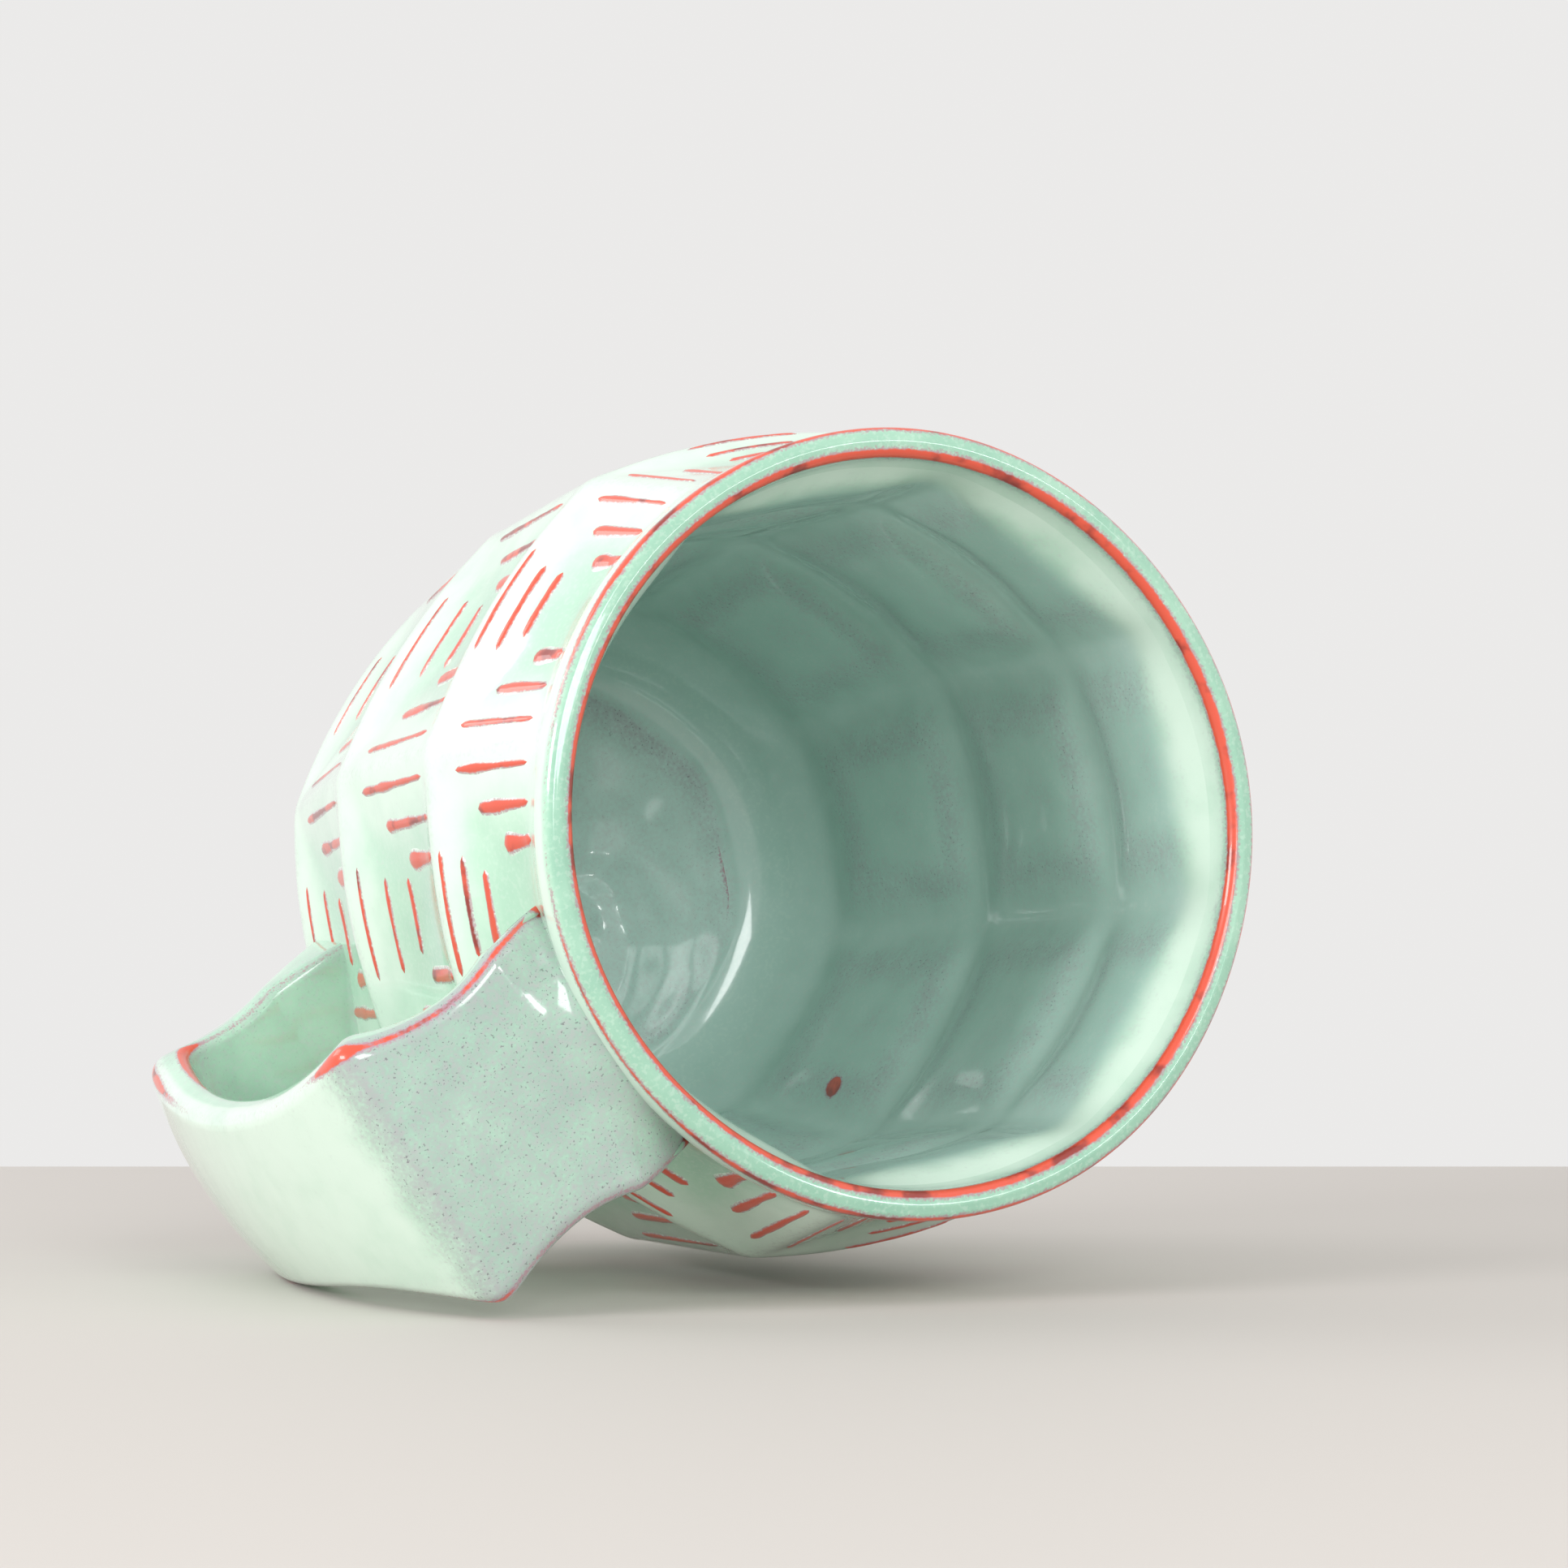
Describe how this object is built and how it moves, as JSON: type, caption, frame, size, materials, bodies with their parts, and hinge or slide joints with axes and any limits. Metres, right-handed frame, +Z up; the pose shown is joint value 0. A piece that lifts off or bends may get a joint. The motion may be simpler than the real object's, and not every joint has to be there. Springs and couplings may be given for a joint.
{
  "type": "ceramic mug",
  "caption": "Large faceted barrel mug in glazed red clay, with a round rim and a wide strap handle folded at two angular knuckles.",
  "frame": {"origin": "centre of the foot ring's underside, on the axis of the mug", "axes": "+Z up along the mug's axis to the mouth, +X from the axis to the handle, +Y completes the right hand"},
  "size_m": [0.1252, 0.1004, 0.108],
  "materials": {
    "mint_breaking_glaze": "glossy celadon glaze that breaks to rust red on raised edges",
    "bare_red_clay": "matt unglazed fired red clay"
  },
  "bodies": {
    "root": {"body_wall": "mint_breaking_glaze", "rim_band": "mint_breaking_glaze", "floor_disc": "mint_breaking_glaze", "foot_ring": "bare_red_clay", "handle_slab": "mint_breaking_glaze", "upper_handle_joint": "mint_breaking_glaze", "lower_handle_joint": "mint_breaking_glaze"}
  },
  "joints": []
}
